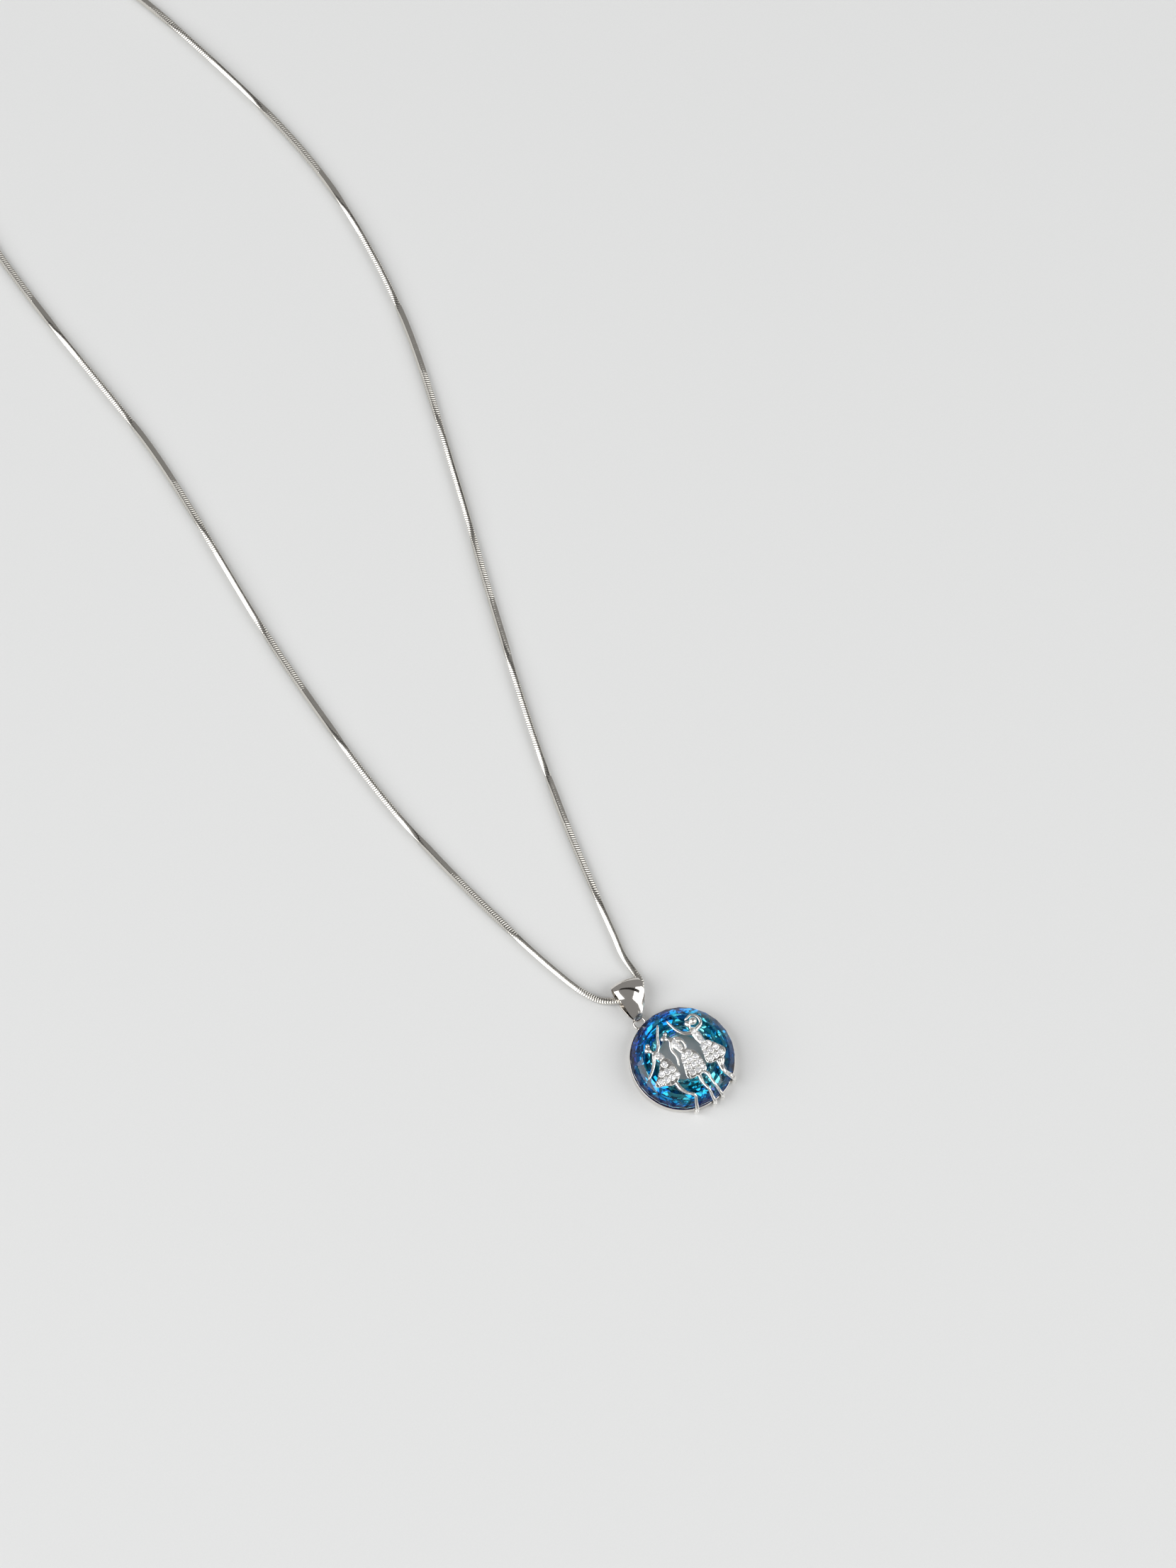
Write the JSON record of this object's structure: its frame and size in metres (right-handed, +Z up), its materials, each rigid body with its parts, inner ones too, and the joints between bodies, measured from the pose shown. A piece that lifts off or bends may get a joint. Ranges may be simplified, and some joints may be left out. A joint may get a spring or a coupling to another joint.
{
  "type": "pendant necklace",
  "caption": "Ring-shaped blue crystal in an open silver cup with three stone-set dancer castings, hung by a folded leaf bail on a square snake chain with a lobster clasp.",
  "frame": {"origin": "on the surface it lies on, at the middle of the pendant and bail seen from above", "axes": "+X to the pendant's right as worn and seen from the front, +Y from the crystal towards the bail and chain, +Z up, out of the pendant's front face"},
  "size_m": [0.1071, 0.2773, 0.0061],
  "materials": {
    "rhodium_silver": "rhodium-plated silver, mirror polished",
    "cast_silver": "rhodium-plated cast silver, tumbled bright",
    "snake_chain": "rhodium-plated silver, diamond-cut square snake chain",
    "coated_crystal": "faceted crystal with a blue and aqua interference coating on its back",
    "white_stone": "round-cut colourless cubic zirconia",
    "spring_steel": "drawn spring wire"
  },
  "bodies": {
    "necklace_chain": {"chain": "snake_chain", "end_cap_clasp": "rhodium_silver", "end_cap_catch": "rhodium_silver"},
    "bail": {"bail": "rhodium_silver"},
    "pendant": {"crystal_ring": "coated_crystal", "cup": "rhodium_silver", "eyelet": "rhodium_silver", "dancer_left": "cast_silver", "dancer_middle": "cast_silver", "dancer_right": "cast_silver", "stone_left_01": "white_stone", "stone_left_02": "white_stone", "stone_left_03": "white_stone", "stone_left_04": "white_stone", "stone_left_05": "white_stone", "stone_left_06": "white_stone", "stone_left_07": "white_stone", "stone_left_08": "white_stone", "stone_left_09": "white_stone", "stone_left_10": "white_stone", "stone_middle_01": "white_stone", "stone_middle_02": "white_stone", "stone_middle_03": "white_stone", "stone_middle_04": "white_stone", "stone_middle_05": "white_stone", "stone_middle_06": "white_stone", "stone_middle_07": "white_stone", "stone_middle_08": "white_stone", "stone_middle_09": "white_stone", "stone_middle_10": "white_stone", "stone_middle_11": "white_stone", "stone_middle_12": "white_stone", "stone_middle_13": "white_stone", "stone_middle_14": "white_stone", "stone_right_01": "white_stone", "stone_right_02": "white_stone", "stone_right_03": "white_stone", "stone_right_04": "white_stone", "stone_right_05": "white_stone", "stone_right_06": "white_stone", "stone_right_07": "white_stone", "stone_right_08": "white_stone", "stone_right_09": "white_stone", "stone_right_10": "white_stone", "stone_right_11": "white_stone", "stone_right_12": "white_stone"},
    "jump_ring": {"jump_ring": "rhodium_silver"},
    "clasp": {"clasp_body": "rhodium_silver", "clasp_pin": "rhodium_silver", "clasp_spring": "spring_steel"},
    "clasp_lever": {"clasp_lever": "rhodium_silver"},
    "catch_ring": {"catch_ring": "rhodium_silver"}
  },
  "joints": [
    {"name": "bail_on_chain", "type": "hinge", "parent": "necklace_chain", "child": "bail", "pos_m": [0.0023, 0.0112, 0.0017], "axis": [-0.8988, 0.4384, 0], "range_deg": [0, 120]},
    {"name": "pendant_in_bail", "type": "hinge", "parent": "bail", "child": "pendant", "pos_m": [0, 0.00648, 0.0013], "axis": [0, 0, 1], "range_deg": [-70, 20]},
    {"name": "jump_ring_in_cap", "type": "hinge", "parent": "necklace_chain", "child": "jump_ring", "pos_m": [0.05133, 0.23751, 0.0013], "axis": [0, 0, 1], "range_deg": [-2, 2]},
    {"name": "clasp_on_ring", "type": "hinge", "parent": "jump_ring", "child": "clasp", "pos_m": [0.05314, 0.23967, 0.0013], "axis": [0, 0, 1], "range_deg": [-3, 3]},
    {"name": "lever_opens", "type": "hinge", "parent": "clasp", "child": "clasp_lever", "pos_m": [0.05598, 0.24081, 0.0013], "axis": [0, 0, 1], "range_deg": [0, 10], "stiffness_Nm_per_rad": 0.0012, "springref_deg": -11.46},
    {"name": "catch_ring_in_cap", "type": "hinge", "parent": "necklace_chain", "child": "catch_ring", "pos_m": [0.05989, 0.24773, 0.0013], "axis": [0, 0, 1], "range_deg": [-3, 3]}
  ]
}
